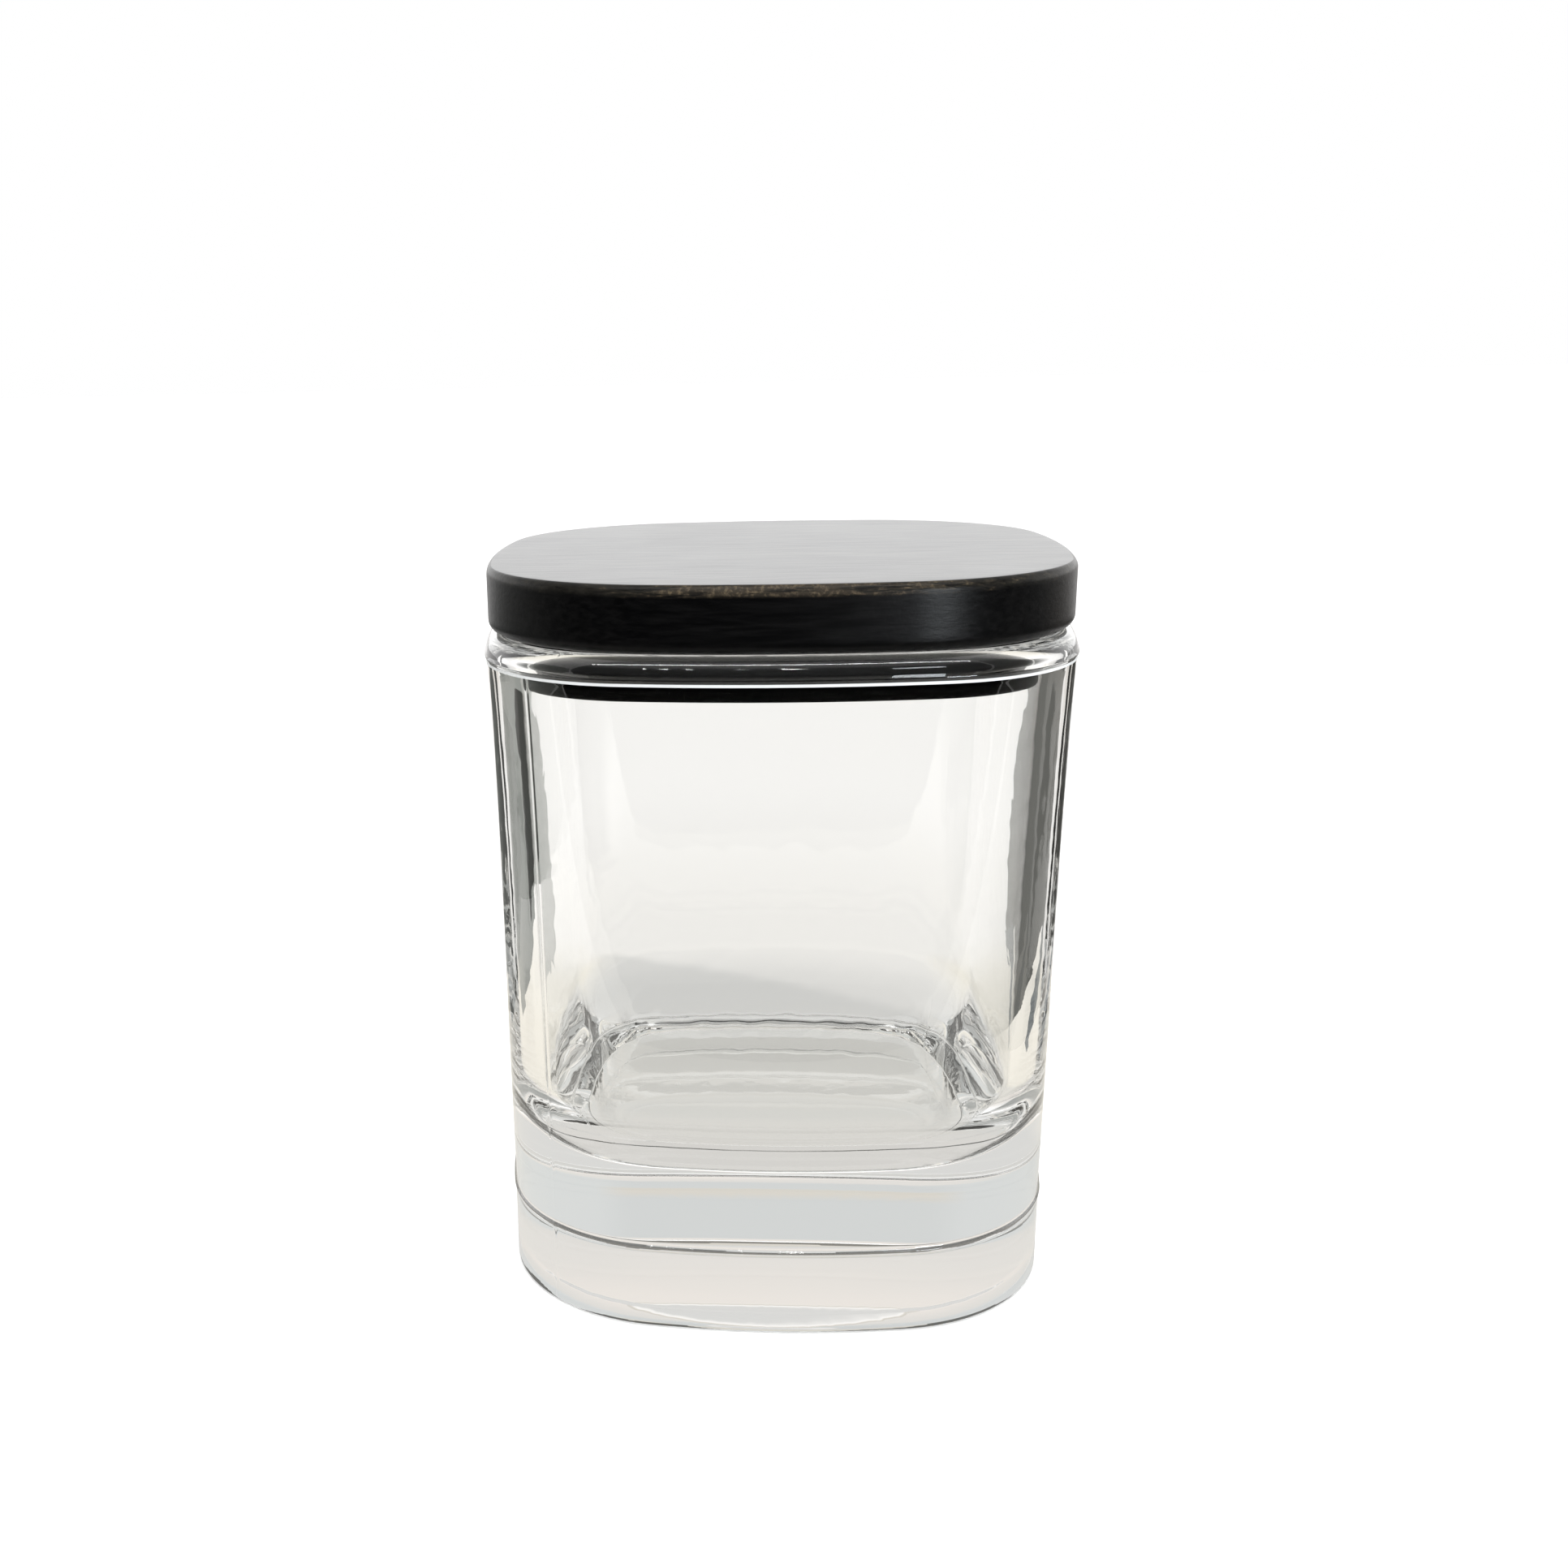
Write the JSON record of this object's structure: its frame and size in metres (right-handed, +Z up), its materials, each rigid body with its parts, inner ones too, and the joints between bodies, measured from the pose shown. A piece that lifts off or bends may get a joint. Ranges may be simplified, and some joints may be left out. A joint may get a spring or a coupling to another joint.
{
  "type": "glass jar with wooden lid",
  "caption": "Clear pressed-glass jar, rounded square in plan, with a thick solid base and a flat black-stained wooden lid whose plug and seal ring sit in the mouth.",
  "frame": {"origin": "centre of the footprint, on the plane the base rests on", "axes": "+Z up along the jar's axis, +X and +Y square to its four sides"},
  "size_m": [0.086, 0.086, 0.1082],
  "materials": {
    "clear_glass": "clear polished pressed glass",
    "stained_wood": "black stain under a satin coat, worn brown along the upper edge",
    "plug_wood": "black stain, matte",
    "silicone": "smooth black silicone"
  },
  "bodies": {
    "jar": {"jar_body": "clear_glass"},
    "lid": {"lid_plate": "stained_wood", "lid_plug": "plug_wood", "seal_ring": "silicone"}
  },
  "joints": [
    {"name": "lid_lift", "type": "slide", "parent": "jar", "child": "lid", "axis": [0, 0, 1], "range_m": [0, 0.04]}
  ]
}
